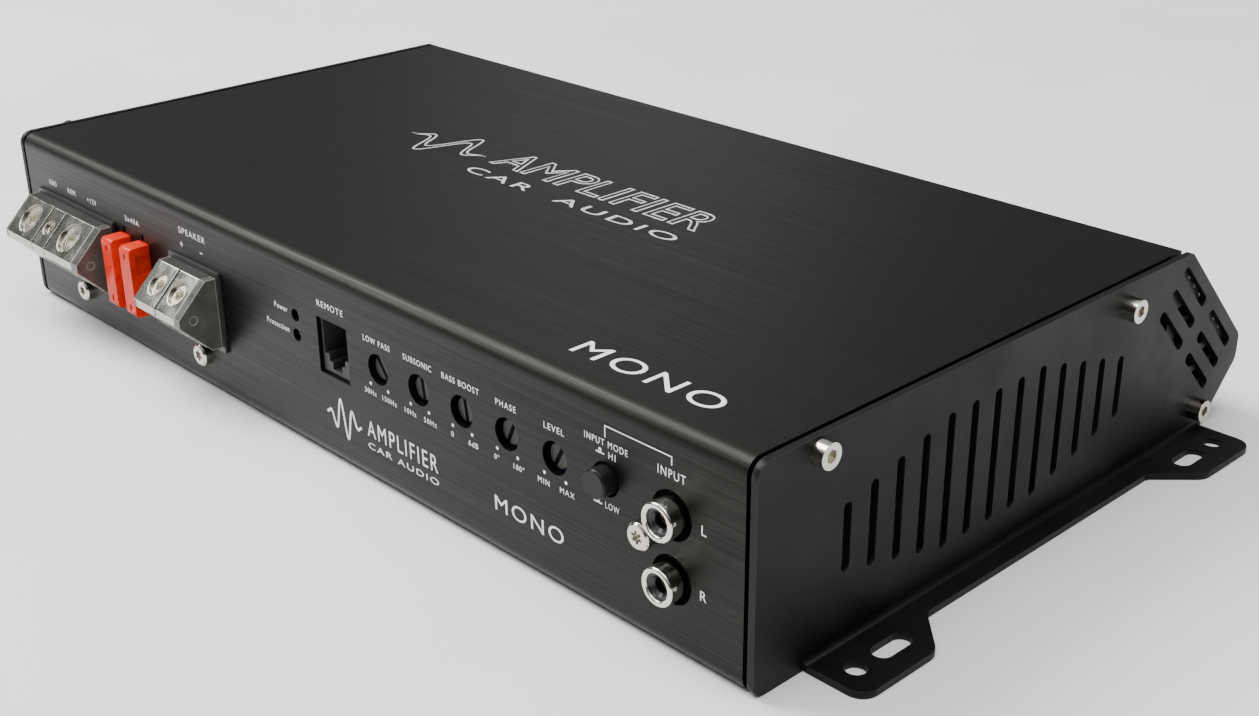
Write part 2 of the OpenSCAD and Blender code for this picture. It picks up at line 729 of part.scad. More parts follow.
module phono_contacts() {
    color([0.8, 0.75, 0.5]) for (z = phono_z) difference() {
        rod_y(phono_x, z, contact_y, contact_d, phono_back - contact_y);
        rod_y(phono_x, z, contact_y - eps, pin_d, 11);
    }
}

module phono_screw() { color(nickel) panel_screw(phono_screw_x, phono_screw_z, 8); }

jack_inset = 0.45;                             // dark gap between the panel and the jack's body
jack_wall = 0.75;
jack_depth = 10.6;
jack_front = 0.9;

module remote_jack() {
    x0 = jack_pos[0] + jack_inset;
    x1 = jack_pos[0] + jack_size[0] - jack_inset;
    z0 = jack_pos[1] + jack_inset;
    z1 = jack_pos[1] + jack_size[1] - 0.1;
    mid = (x0 + x1) / 2;
    color([0.05, 0.05, 0.05]) difference() {
        span([x0, jack_front, z0], [x1, control_y - 0.1, z1]);
        span([x0 + jack_wall, 0, z0 + 4.6], [x1 - jack_wall, jack_depth, z1 - 0.5]);
        // stepped way for the plug's latch
        span([mid - 3.2, 0, z0 + 2.8], [mid + 3.2, jack_depth, z0 + 5]);
        span([mid - 1.9, 0, z0 + 1], [mid + 1.9, jack_depth, z0 + 3]);
    }
}

module remote_jack_contacts() {
    pitch = 1.27;
    mid = jack_pos[0] + jack_size[0] / 2;
    top = jack_pos[1] + jack_size[1] - 1;
    color([0.85, 0.7, 0.35]) for (i = [-1.5 : 1 : 1.5])
        translate([mid + i * pitch, 2.4, top - 0.2]) rotate([-102, 0, 0]) cylinder(d = 0.5, h = 8);
}

led_y = 2.3;                                   // where a lamp's dome starts, behind the panel

module led(z) {
    rod_y(led_x, z, led_y, 3, 5.1 - led_y);
    translate([led_x, led_y, z]) intersection() {
        sphere(d = 3);
        span([-2, -1.6, -2], [2, 0.1, 2]);
    }
    rod_y(led_x, z, 4.8, 3.8, 1);
    for (side = [-1, 1]) rod_y(led_x + side * 1.27, z, 5.6, 0.5, control_y - 5.6);
}

module power_led() { color([0.25, 0.4, 0.25]) led(led_zs[0]); }

module protection_led() { color([0.45, 0.2, 0.2]) led(led_zs[1]); }

// ---------------------------------------------------------------- controls

knob_front = 1.3;                              // the knob faces sit just inside the panel
knob_back = 9;

module knob_bodies() {
    color([0.1, 0.2, 0.4]) for (i = [0 : 4]) translate([knob_x + i * knob_pitch, 0, knob_z]) difference() {
        span([-4.9, 4.2, -5.6], [4.9, control_y - 0.1, 4.9]);
        rod_y(0, 0, 0, knob_d + 2 * run_gap, knob_back + 0.3);
    }
}

module knob(i) {
    color([0.35, 0.35, 0.34]) translate([knob_x + i * knob_pitch, 0, knob_z]) difference() {
        union() {
            rod_y(0, 0, knob_front + 0.3, knob_d, knob_back - knob_front - 0.3);
            translate([0, knob_front + 0.3, 0]) rotate([90, 0, 0])
                cylinder(d1 = knob_d, d2 = knob_d - 0.6, h = 0.3);
        }
        rotate([0, knob_turn[i], 0]) translate([0, knob_front, 0])
            cube([1.1, 2.6, knob_d + 1], center = true);
    }
}

module low_pass_knob() { knob(0); }

module subsonic_knob() { knob(1); }

module bass_boost_knob() { knob(2); }

module phase_knob() { knob(3); }

module level_knob() { knob(4); }

module mode_switch_body() {
    color([0.15, 0.15, 0.15]) difference() {
        translate([button_x, 0, button_z]) span([-5, 2.2, -5], [5, control_y - 0.1, 5]);
        rod_y(button_x, button_z, 0, button_d + 2 * run_gap, 11.6);
    }
}

module mode_button() {
    color([0.3, 0.3, 0.3]) {
        rod_y(button_x, button_z, -button_out + 0.4, button_d, button_out + 8);
        translate([button_x, -button_out + 0.4, button_z]) rotate([90, 0, 0])
            cylinder(d1 = button_d, d2 = button_d - 0.8, h = 0.4);
    }
}

module control_board() {
    color([0.1, 0.3, 0.15]) difference() {
        span([-9, control_y, board_z + board_t + 0.1], [131, control_y + board_t, 45]);
        rod_y(phono_screw_x, phono_screw_z, control_y - eps, 4, 3);
        for (z = led_zs, side = [-1, 1]) rod_y(led_x + side * 1.27, z, control_y - eps, 0.7, 3);
    }
}

module board_header() {
    color([0.08, 0.08, 0.08]) span([18, control_y + board_t + 0.05, board_z + board_t + 0.05],
        [58, control_y + 9, board_z + 10]);
}

// ---------------------------------------------------------------- inside

board_screw_xs = [-128, 0, 128];
board_screw_ys = [34, 118];
clamp_screw_xs = [-108.5, -38.5, 38.5, 108.5];
clamp_z = 30;

module main_board() {
    color([0.08, 0.28, 0.14]) difference() {
        span([-135, 12.4, board_z], [135, web_y - 14, board_z + board_t]);
        for (x = board_screw_xs, y = board_screw_ys) translate([x, y, 0]) cylinder(d = 3.3, h = 40);
    }
}

module board_standoffs() {
    color([0.8, 0.72, 0.4]) for (x = board_screw_xs, y = board_screw_ys) translate([x, y, 0]) difference() {
        translate([0, 0, base_top]) cylinder(d = 6.4, h = board_z - base_top - 0.02, $fn = 6);
        translate([0, 0, board_z - 6]) cylinder(d = m3_hole, h = 8);
    }
}

module board_screws() {
    color([0.8, 0.8, 0.78]) for (x = board_screw_xs, y = board_screw_ys)
        translate([x, y, board_z + board_t + 0.02]) difference() {
            union() {
                cylinder(d = 5.6, h = 2);
                translate([0, 0, -5.6]) cylinder(d = m3 - 0.1, h = 5.8);
            }
            for (turn = [0, 90]) translate([0, 0, 2]) rotate(turn) cube([3, 0.8, 1.8], center = true);
        }
}

// A flat bar from a block's back, over the board's front edge and down to it.
module busbar(x, w, t) {
    z = 20;
    span([x - w / 2, block_back + 0.05, z], [x + w / 2, block_back + 0.05 + t, z + 8]);
    span([x - w / 2, block_back + 0.05, z], [x + w / 2, 20, z + t]);
    span([x - w / 2, 20 - t, board_z + board_t + 0.05], [x + w / 2, 20, z + t]);
}

module supply_busbars() {
    color([0.72, 0.45, 0.25]) {
        busbar(gnd_block[0], 11, 1.5);
        busbar(remote_block[0], 3, 0.8);
        busbar(supply_block[0], 11, 1.5);
    }
}

module output_busbars() {
    color([0.72, 0.45, 0.25]) for (b = [speaker_plus_block, speaker_minus_block]) busbar(b[0], 6, 1.2);
}

module toroid(mid, bore, outer, h, tilt = 0) {
    ring = (outer - bore) / 4;
    translate([mid[0], mid[1], board_z + board_t + 0.1]) {
        rotate_extrude() translate([bore / 2 + ring, 0]) rounded(
            [[-ring, 0], [ring, 0], [ring, h], [-ring, h]], [3, 3, 3, 3]);
        for (a = [20, 40]) rotate(a + tilt) translate([outer / 2 + 1, 0, 0]) cylinder(d = 1.6, h = 6);
    }
}

module power_transformer() { color([0.72, 0.35, 0.12]) toroid([-68, 62], 18, 48, 22); }

module output_inductor() { color([0.75, 0.4, 0.15]) toroid([62, 74], 12, 36, 17, 180); }

module can(x, y, d, h) {
    translate([x, y, board_z + board_t + 0.1]) difference() {
        cylinder(d = d, h = h);
        for (turn = [0, 60, 120]) translate([0, 0, h]) rotate(turn) cube([d - 4, 0.7, 0.8], center = true);
    }
}

module supply_capacitors() {
    color([0.1, 0.1, 0.25]) for (i = [0 : 4]) can(-26 + i * 14, 98, 13, 30);
    color([0.1, 0.1, 0.25]) for (i = [0 : 1]) can(-112 + i * 15, 40, 13, 28);
}

module output_capacitors() {
    color([0.55, 0.1, 0.1]) for (i = [0 : 2])
        span([92, 34 + i * 16, board_z + board_t + 0.1], [118, 43 + i * 16, board_z + board_t + 19]);
}

transistor_xs = [for (i = [0 : 7], side = [-1, 1]) side * (17.5 + i * 14)];

// Eight pairs on the web, each with three legs bent back and down to the board.
module power_transistors() {
    back = web_y - 0.55;                       // rear faces, on the thermal pad
    leg = 0.6;
    shelf_z = 17;
    color([0.09, 0.09, 0.09]) for (x = transistor_xs) {
        span([x - 5, back - 4.4, 24], [x + 5, back, 39]);
        for (i = [-1 : 1]) translate([x + i * 2.54 - 0.4, 0, 0]) {
            span([0, back - 3.4, shelf_z], [0.8, back - 3.4 + leg, 24.5]);
            span([0, web_y - 15, shelf_z], [0.8, back - 3.4 + leg, shelf_z + leg]);
            span([0, web_y - 15, board_z + board_t + 0.05], [0.8, web_y - 15 + leg, shelf_z + leg]);
        }
    }
}

module thermal_pad() {
    color([0.7, 0.75, 0.8]) difference() {
        span([-125, web_y - 0.53, 22], [125, web_y - 0.03, 41]);
        for (x = clamp_screw_xs) rod_y(x, clamp_z, web_y - 2, 4, 4);
    }
}

// Spring bar that presses the transistors on the web, with its four screws.
module transistor_clamp() {
    bar_y = web_y - 5;
    color([0.7, 0.7, 0.7]) {
        span([-125, bar_y - 2.5, 27], [125, bar_y - 0.05, 34]);
        for (x = clamp_screw_xs) {
            rod_y(x, clamp_z, bar_y - 4.9, 5.5, 2.5);
            rod_y(x, clamp_z, bar_y - 2.6, m3 - 0.1, 10.6);
        }
    }
}

home() cover();
home() base_plate();
home() rear_heatsink();
home() end_plate_left();
home() end_plate_right();
home() end_plate_screws();
home() corner_blocks();
home() base_screws();
home() power_housing();
home() power_end_caps();
home() gnd_terminal();
home() remote_terminal();
home() supply_terminal();
home() speaker_housing();
home() speaker_end_caps();
home() speaker_plus_terminal();
home() speaker_minus_terminal();
home() terminal_mount_screws();
home() gnd_screw();
home() remote_screw();
home() supply_screw();
home() speaker_plus_screw();
home() speaker_minus_screw();
home() fuse_holder();
home() fuse_clips();
home() fuse_1_head();
home() fuse_1_blades();
home() fuse_2_head();
home() fuse_2_blades();
home() phono_block();
home() phono_barrels();
home() phono_insulators();
home() phono_contacts();
home() phono_screw();
home() remote_jack();
home() remote_jack_contacts();
home() power_led();
home() protection_led();
home() knob_bodies();
home() low_pass_knob();
home() subsonic_knob();
home() bass_boost_knob();
home() phase_knob();
home() level_knob();
home() mode_switch_body();
home() mode_button();
home() control_board();
home() board_header();
home() main_board();
home() board_standoffs();
home() board_screws();
home() supply_busbars();
home() output_busbars();
home() power_transformer();
home() output_inductor();
home() supply_capacitors();
home() output_capacitors();
home() power_transistors();
home() transistor_clamp();
home() thermal_pad();
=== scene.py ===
"""Looks of the car amplifier: materials, printed and engraved marks, floor, light and camera."""
import json
import math

import bmesh
import bpy
from mathutils import Matrix, Vector


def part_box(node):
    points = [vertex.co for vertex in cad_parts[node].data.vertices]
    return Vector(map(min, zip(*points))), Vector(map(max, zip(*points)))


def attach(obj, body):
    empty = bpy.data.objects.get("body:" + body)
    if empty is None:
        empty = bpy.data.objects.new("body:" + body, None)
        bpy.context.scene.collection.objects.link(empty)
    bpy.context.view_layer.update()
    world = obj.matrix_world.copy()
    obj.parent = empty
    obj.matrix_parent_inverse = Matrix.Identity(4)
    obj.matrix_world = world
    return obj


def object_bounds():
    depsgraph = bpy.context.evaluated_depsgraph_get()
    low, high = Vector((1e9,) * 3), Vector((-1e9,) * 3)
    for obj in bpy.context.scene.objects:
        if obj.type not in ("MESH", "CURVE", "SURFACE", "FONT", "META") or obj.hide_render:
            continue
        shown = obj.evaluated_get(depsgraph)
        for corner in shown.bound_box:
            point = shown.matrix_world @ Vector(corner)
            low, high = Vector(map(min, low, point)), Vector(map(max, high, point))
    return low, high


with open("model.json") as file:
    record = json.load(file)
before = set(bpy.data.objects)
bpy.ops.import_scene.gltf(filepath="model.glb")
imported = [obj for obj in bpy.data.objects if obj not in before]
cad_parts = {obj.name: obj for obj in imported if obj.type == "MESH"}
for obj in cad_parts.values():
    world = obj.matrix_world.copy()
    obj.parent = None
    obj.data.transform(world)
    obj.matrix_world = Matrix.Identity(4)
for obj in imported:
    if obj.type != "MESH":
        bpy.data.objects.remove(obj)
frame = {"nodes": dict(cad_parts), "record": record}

MM = 0.001
INK = 0.03 * MM          # thickness of the printed marks
LETTER_SPACING = 1.22
cad_low, cad_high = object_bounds()
nodes = frame["nodes"]


def middle(node):
    low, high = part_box(node)
    return (low + high) / 2


PANEL_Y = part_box("cover")[0].y
TOP_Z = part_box("cover")[1].z


# ---------------------------------------------------------------- material tools

class Look:
    """A Principled material, with the node chains that give it grain, painted edge highlights and bump."""

    def __init__(self, name, color, metallic=0.0, roughness=0.5, **plain):
        self.material = bpy.data.materials.new(name)
        self.material.use_nodes = True
        self.tree = self.material.node_tree
        self.shader = self.tree.nodes["Principled BSDF"]
        self.set("Base Color", (*color, 1.0))
        self.set("Metallic", metallic)
        self.set("Roughness", roughness)
        for socket, value in plain.items():
            self.set(socket.replace("_", " "), value)
        self.height = None
        self.place = self.tree.nodes.new("ShaderNodeTexCoord").outputs["Object"]

    def set(self, socket, value):
        self.shader.inputs[socket].default_value = value

    def node(self, kind, **settings):
        made = self.tree.nodes.new(kind)
        for name, value in settings.items():
            setattr(made, name, value)
        return made

    def link(self, source, target):
        self.tree.links.new(source, target)

    def noise(self, per_metre, detail=4.0, rough=0.6, low=0.35, high=0.65):
        """Noise with its own scale along x, y and z, sharpened to run from 0 to 1."""
        mapping = self.node("ShaderNodeMapping")
        mapping.inputs["Scale"].default_value = per_metre
        self.link(self.place, mapping.inputs["Vector"])
        texture = self.node("ShaderNodeTexNoise")
        texture.inputs["Scale"].default_value = 1.0
        texture.inputs["Detail"].default_value = detail
        texture.inputs["Roughness"].default_value = rough
        self.link(mapping.outputs["Vector"], texture.inputs["Vector"])
        spread = self.node("ShaderNodeMapRange")
        spread.inputs["From Min"].default_value = low
        spread.inputs["From Max"].default_value = high
        self.link(texture.outputs["Fac"], spread.inputs["Value"])
        return spread.outputs["Result"]

    def scaled(self, value, low, high):
        spread = self.node("ShaderNodeMapRange")
        spread.inputs["To Min"].default_value = low
        spread.inputs["To Max"].default_value = high
        self.link(value, spread.inputs["Value"])
        return spread.outputs["Result"]

    def roughen(self, value, low, high):
        self.link(self.scaled(value, low, high), self.shader.inputs["Roughness"])
        return self

    def tint(self, value, dark, light):
        mix = self.node("ShaderNodeMix", data_type="RGBA")
        mix.inputs["A"].default_value = (*dark, 1.0)
        mix.inputs["B"].default_value = (*light, 1.0)
        self.link(value, mix.inputs["Factor"])
        self.link(mix.outputs["Result"], self.shader.inputs["Base Color"])
        return self

    def bump(self, value, depth):
        """Adds a bump whose full height is depth metres; later bumps ride on earlier ones."""
        bump = self.node("ShaderNodeBump")
        bump.inputs["Distance"].default_value = depth
        self.link(value, bump.inputs["Height"])
        if self.height is not None:
            self.link(self.height, bump.inputs["Normal"])
        self.height = bump.outputs["Normal"]
        self.link(self.height, self.shader.inputs["Normal"])
        return self

    def soften(self, width):
        """Shades sharp edges as if they were rounded; bumps added later ride on it."""
        bevel = self.node("ShaderNodeBevel", samples=10)
        bevel.inputs["Radius"].default_value = width
        self.height = bevel.outputs["Normal"]
        self.link(self.height, self.shader.inputs["Normal"])
        return self

    def brushed_along_x(self):
        """Turns anisotropic gloss so that it spreads across grooves that run along x."""
        tangent = self.node("ShaderNodeTangent", direction_type="RADIAL", axis="X")
        self.link(tangent.outputs["Tangent"], self.shader.inputs["Tangent"])
        return self

    def painted_edge_highlight(self, color, width, strength=1.0):
        """Painted highlight: a lighter colour along sharp edges that stands in for rim highlights, found
        with a bevelled normal.
        """
        bevel = self.node("ShaderNodeBevel", samples=4)
        bevel.inputs["Radius"].default_value = width
        geometry = self.node("ShaderNodeNewGeometry")
        apart = self.node("ShaderNodeVectorMath", operation="DISTANCE")
        self.link(bevel.outputs["Normal"], apart.inputs[0])
        self.link(geometry.outputs["Normal"], apart.inputs[1])
        reach = self.node("ShaderNodeMapRange")
        reach.inputs["From Min"].default_value = 0.15
        reach.inputs["From Max"].default_value = 0.6
        reach.inputs["To Max"].default_value = strength
        self.link(apart.outputs["Value"], reach.inputs["Value"])
        mix = self.node("ShaderNodeMix", data_type="RGBA")
        base = self.shader.inputs["Base Color"]
        if base.is_linked:
            self.link(base.links[0].from_socket, mix.inputs["A"])
        else:
            mix.inputs["A"].default_value = base.default_value
        mix.inputs["B"].default_value = (*color, 1.0)
        self.link(reach.outputs["Result"], mix.inputs["Factor"])
        self.link(mix.outputs["Result"], base)
        return self


def even(per_metre):
    return (per_metre, per_metre, per_metre)


def brushed_black():
    look = Look("brushed_black", (0.05, 0.05, 0.048), metallic=0.9, roughness=0.36, Anisotropic=0.5)
    fine = look.noise((60, 4200, 4200), detail=3)
    streaks = look.noise((9, 1300, 1300), detail=6, rough=0.75, low=0.3, high=0.72)
    look.tint(streaks, (0.0085, 0.0086, 0.0074), (0.026, 0.0265, 0.023))
    look.roughen(streaks, 0.46, 0.34)
    look.bump(fine, 0.012 * MM).bump(streaks, 0.010 * MM)
    return look.brushed_along_x().material


def matte_coat():
    look = Look("matte_coat", (0.01, 0.01, 0.01), roughness=0.5, Specular_IOR_Level=0.19)
    orange_peel = look.noise(even(1500), detail=2)
    patches = look.noise(even(45), detail=3)
    look.tint(patches, (0.004, 0.004, 0.004), (0.007, 0.007, 0.0065))
    look.roughen(patches, 0.42, 0.54)
    # Painted highlight: lighter colour along the sharp edges of the coated parts, standing in for rim
    # highlights.
    look.painted_edge_highlight((0.05, 0.05, 0.048), 0.25 * MM, 0.6)
    return look.bump(orange_peel, 0.008 * MM).material


def black_extrusion():
    look = Look("black_extrusion", (0.03, 0.03, 0.03), metallic=0.7, roughness=0.42)
    draw_lines = look.noise((12, 2600, 2600), detail=3)
    look.roughen(draw_lines, 0.36, 0.5)
    return look.bump(draw_lines, 0.01 * MM).material


def plated(name, color, low, high, scratches=0.001 * MM, rounding=0.1 * MM):
    look = Look(name, color, metallic=1.0, roughness=low).soften(rounding)
    haze = look.noise(even(260), detail=5)
    marks = look.noise((2400, 500, 900), detail=2)
    look.tint(haze, tuple(c * 0.9 for c in color), color)
    look.roughen(haze, low, high)
    return look.bump(marks, scratches).material


def moulded(name, color, low, high, grain=0.006 * MM, scale=1800, **plain):
    look = Look(name, color, roughness=low, **plain)
    skin = look.noise(even(scale), detail=2)
    flow = look.noise(even(60), detail=3)
    look.tint(flow, tuple(c * 0.85 for c in color), tuple(c * 1.15 for c in color))
    look.roughen(flow, low, high)
    return look.bump(skin, grain).material


def fuse_plastic():
    look = Look("fuse_plastic", (0.75, 0.03, 0.008), roughness=0.3, Specular_IOR_Level=0.15,
                Transmission_Weight=0.1, IOR=1.5, Subsurface_Weight=0.3, Subsurface_Scale=0.002)
    flow = look.noise(even(220), detail=2)
    look.tint(flow, (0.66, 0.020, 0.004), (0.78, 0.034, 0.008))
    look.roughen(flow, 0.26, 0.36)
    return look.bump(flow, 0.008 * MM).material


def smoked_plastic():
    look = Look("smoked_plastic", (0.16, 0.16, 0.14), roughness=0.14, Transmission_Weight=0.35, IOR=1.5)
    flow = look.noise(even(180), detail=4)
    look.tint(flow, (0.085, 0.085, 0.075), (0.13, 0.13, 0.115))
    look.roughen(flow, 0.10, 0.2)
    # Painted highlight: a light beige colour along the smoked caps' edges, standing in for rim highlights.
    look.painted_edge_highlight((0.55, 0.54, 0.47), 0.5 * MM)
    return look.bump(flow, 0.008 * MM).material


def lens(name, color):
    look = Look(name, color, roughness=0.25, Transmission_Weight=0.3, IOR=1.5)
    flow = look.noise(even(700), detail=2)
    look.tint(flow, tuple(c * 0.7 for c in color), color)
    return look.bump(flow, 0.002 * MM).material


def circuit_board():
    look = Look("circuit_board", (0.015, 0.10, 0.04), roughness=0.35)
    tracks = look.noise((420, 420, 60), detail=1, low=0.48, high=0.52)
    weave = look.noise(even(2400), detail=1)
    look.tint(tracks, (0.012, 0.08, 0.035), (0.03, 0.17, 0.07))
    return look.bump(tracks, 0.03 * MM).bump(weave, 0.006 * MM).material


def winding():
    look = Look("winding", (0.55, 0.22, 0.08), metallic=0.9, roughness=0.3)
    turns = look.noise((900, 900, 60), detail=1)
    look.tint(turns, (0.30, 0.10, 0.03), (0.70, 0.30, 0.11))
    look.roughen(turns, 0.22, 0.4)
    return look.bump(turns, 0.2 * MM).material


def sleeve(name, color):
    look = Look(name, color, roughness=0.3)
    shrink = look.noise((120, 120, 500), detail=3)
    look.tint(shrink, tuple(c * 0.8 for c in color), tuple(c * 1.2 for c in color))
    look.roughen(shrink, 0.24, 0.4)
    return look.bump(shrink, 0.05 * MM).material


def printed_ink():
    look = Look("printed_ink", (0.88, 0.89, 0.89), roughness=0.55)
    wear = look.noise(even(2200), detail=4)
    look.tint(wear, (0.78, 0.79, 0.79), (0.94, 0.95, 0.95))
    return look.bump(wear, 0.01 * MM).material


def cut_metal():
    look = Look("cut_metal", (0.82, 0.82, 0.80), metallic=0.4, roughness=0.22)
    tool_marks = look.noise(even(2600), detail=2)
    look.tint(tool_marks, (0.66, 0.66, 0.64), (0.9, 0.9, 0.88))
    look.roughen(tool_marks, 0.16, 0.34)
    return look.bump(tool_marks, 0.01 * MM).material


def studio_floor():
    look = Look("studio_floor", (0.86, 0.86, 0.87), roughness=0.6)
    clouds = look.noise(even(5), detail=5)
    look.tint(clouds, (0.84, 0.84, 0.85), (0.88, 0.88, 0.89))
    look.roughen(clouds, 0.5, 0.65)
    return look.material


NICKEL = (0.66, 0.63, 0.55)
LOOKS = {
    "brushed_black": brushed_black(),
    "black_steel": matte_coat(),
    "black_heatsink": black_extrusion(),
    "nickel": plated("bright_nickel", NICKEL, 0.12, 0.22),
    "terminal_nickel": plated("satin_nickel", (0.47, 0.465, 0.41), 0.12, 0.2, rounding=0.35 * MM),
    "screw_nickel": plated("screw_nickel", (0.68, 0.66, 0.57), 0.16, 0.26),
    "barrel_nickel": plated("barrel_nickel", (0.74, 0.72, 0.66), 0.1, 0.2),
    "plain_aluminium": plated("plain_aluminium", (0.7, 0.7, 0.7), 0.35, 0.5, 0.012 * MM),
    "black_housing": moulded("black_housing", (0.022, 0.022, 0.020), 0.3, 0.42),
    "smoked_plastic": smoked_plastic(),
    "inner_black": moulded("inner_black", (0.022, 0.022, 0.022), 0.45, 0.6),
    "contact_brass": plated("contact_brass", (0.75, 0.6, 0.3), 0.25, 0.4),
    "contact_gold": plated("contact_gold", (0.9, 0.68, 0.28), 0.15, 0.28),
    "fuse_red": fuse_plastic(),
    "blade_tin": plated("blade_tin", (0.7, 0.7, 0.68), 0.3, 0.45),
    "insulator_black": moulded("insulator_black", (0.008, 0.008, 0.009), 0.25, 0.35),
    "led_green": lens("led_green", (0.02, 0.05, 0.025)),
    "led_red": lens("led_red", (0.07, 0.015, 0.012)),
    "trimmer_blue": moulded("trimmer_blue", (0.02, 0.05, 0.2), 0.4, 0.5),
    "knob_grey": moulded("knob_grey", (0.03, 0.03, 0.03), 0.35, 0.5, Specular_IOR_Level=0.25),
    "button_black": moulded("button_black", (0.008, 0.008, 0.008), 0.3, 0.4, Specular_IOR_Level=0.2),
    "board_green": circuit_board(),
    "copper": plated("copper", (0.8, 0.42, 0.24), 0.25, 0.4),
    "copper_winding": winding(),
    "capacitor_sleeve": sleeve("capacitor_sleeve", (0.02, 0.02, 0.06)),
    "film_red": sleeve("film_red", (0.3, 0.03, 0.03)),
    "thermal_grey": moulded("thermal_grey", (0.4, 0.43, 0.45), 0.6, 0.7),
}
LOOKS["matte_black"] = LOOKS["black_steel"]


def dress_nodes():
    """Every CAD node takes the look of its material slot."""
    slots = {s["node"]: s["material_slot"] for s in frame["record"]["subparts"]}
    for name, node in nodes.items():
        node.data.materials.clear()
        node.data.materials.append(LOOKS[slots[name]])


def ease_edges(width, *names):
    """Rounds the sharp edges of metal and moulded parts a little, as real ones are."""
    for name in names:
        weld = nodes[name].modifiers.new("weld", "WELD")
        weld.merge_threshold = 0.001 * MM
        bevel = nodes[name].modifiers.new("ease", "BEVEL")
        bevel.width = width
        bevel.segments = 2
        bevel.limit_method = "ANGLE"
        bevel.angle_limit = math.radians(40)
        bevel.harden_normals = True


def ease_parts():
    ease_edges(0.35 * MM, "power_end_caps", "speaker_end_caps")
    ease_edges(0.3 * MM, "fuse_1_head", "fuse_2_head")
    ease_edges(0.2 * MM, "end_plate_left", "end_plate_right", "mode_button", *KNOBS)


# ---------------------------------------------------------------- marks

def facing_panel(x, z):
    """Puts a flat drawing upright on the control panel, its middle at (x, z)."""
    return Matrix.Translation((x, PANEL_Y - INK / 2, z)) @ Matrix.Rotation(math.pi / 2, 4, "X")


def facing_top(x, y):
    return Matrix.Translation((x, y, TOP_Z + INK / 2))


def as_mesh(drawing):
    """Turns a curve or text object into a mesh object."""
    bpy.context.view_layer.update()
    graph = bpy.context.evaluated_depsgraph_get()
    mesh = bpy.data.meshes.new_from_object(drawing.evaluated_get(graph))
    made = bpy.data.objects.new(drawing.name + "_mesh", mesh)
    bpy.context.scene.collection.objects.link(made)
    bpy.data.objects.remove(drawing)
    return made


def fit(made, place, height, width=None, align=0.0):
    """Scales a flat mesh to a height and width, and moves its middle (or an edge) to place."""
    xs = [v.co.x for v in made.data.vertices]
    ys = [v.co.y for v in made.data.vertices]
    tall = height / (max(ys) - min(ys))
    wide = width / (max(xs) - min(xs)) if width else tall
    anchor = (min(xs) + max(xs)) / 2 + align * (max(xs) - min(xs)) / 2
    centre = Matrix.Translation((-anchor, -(min(ys) + max(ys)) / 2, 0))
    made.data.transform(place @ Matrix.Diagonal((wide, tall, 1, 1)) @ centre)
    return made


def words(text, place, height, width=None, align=0.0):
    """Printed lettering: height is that of its tallest letter."""
    curve = bpy.data.curves.new("lettering", "FONT")
    curve.body = text
    curve.space_character = LETTER_SPACING
    curve.extrude = INK / 2
    drawing = bpy.data.objects.new("lettering", curve)
    bpy.context.scene.collection.objects.link(drawing)
    return fit(as_mesh(drawing), place, height, width, align)


def strip(points, width, place, closed=False):
    """A printed line of even width through 2-D points, mitred where it turns."""
    points = [Vector(p) for p in points]
    count = len(points)
    shape = bmesh.new()
    pairs = []
    for i, point in enumerate(points):
        before = points[(i - 1) % count] if closed or i else None
        after = points[(i + 1) % count] if closed or i < count - 1 else None
        ways = [(b - a).normalized() for a, b in ((before, point), (point, after)) if a and b]
        sides = [Vector((-w.y, w.x)) for w in ways]
        mitre = (sides[0] + sides[-1]).normalized()
        mitre *= width / 2 / max(0.35, mitre.dot(sides[0]))
        pairs.append([shape.verts.new((*(point + mitre * s), 0)) for s in (-1, 1)])
    for i in range(count if closed else count - 1):
        (a, b), (c, d) = pairs[i], pairs[(i + 1) % count]
        shape.faces.new([a, c, d, b])
    mesh = bpy.data.meshes.new("line")
    shape.to_mesh(mesh)
    made = bpy.data.objects.new("line", mesh)
    bpy.context.scene.collection.objects.link(made)
    mesh.transform(place)
    return made


def disc(radius, place):
    mesh = bpy.data.meshes.new("dot")
    shape = bmesh.new()
    bmesh.ops.create_circle(shape, cap_ends=True, segments=24, radius=radius)
    shape.to_mesh(mesh)
    made = bpy.data.objects.new("dot", mesh)
    bpy.context.scene.collection.objects.link(made)
    mesh.transform(place)
    return made


def joined(name, parts, material):
    """One piece made of many printed marks, riding on the case."""
    whole = bmesh.new()
    for part in parts:
        whole.from_mesh(part.data)
        bpy.data.objects.remove(part)
    mesh = bpy.data.meshes.new(name)
    whole.to_mesh(mesh)
    mesh.materials.append(material)
    piece = bpy.data.objects.new(name, mesh)
    bpy.context.scene.collection.objects.link(piece)
    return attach(piece, "case")


SMALL = 1.45 * MM
KNOBS = {
    "low_pass_knob": ("LOW PASS", "30Hz", "150Hz", 10.1 * MM),
    "subsonic_knob": ("SUBSONIC", "10Hz", "50Hz", 10.2 * MM),
    "bass_boost_knob": ("BASS BOOST", "0", "6dB", 12.6 * MM),
    "phase_knob": ("PHASE", "0°", "180°", 6.5 * MM),
    "level_knob": ("LEVEL", "MIN", "MAX", 6.1 * MM),
}


def knob_marks(node, title, low, high, width):
    x, z = middle(node).x, middle(node).z
    marks = [words(title, facing_panel(x, z + 6.6 * MM), SMALL, width)]
    for side, text in ((-1, low), (1, high)):
        dot_x = x + side * 3.3 * MM
        marks.append(disc(0.42 * MM, facing_panel(dot_x, z - 4.4 * MM)))
        marks.append(words(text, facing_panel(dot_x + side * 0.3 * MM, z - 6.6 * MM), 1.3 * MM))
    return marks


def push_symbol(x, z):
    """A flat step under a domed cap, beside each button position."""
    return [
        strip([(-1.2 * MM, 0), (1.2 * MM, 0)], 0.36 * MM, facing_panel(x, z)),
        disc(0.5 * MM, facing_panel(x, z + 0.6 * MM)),
    ]


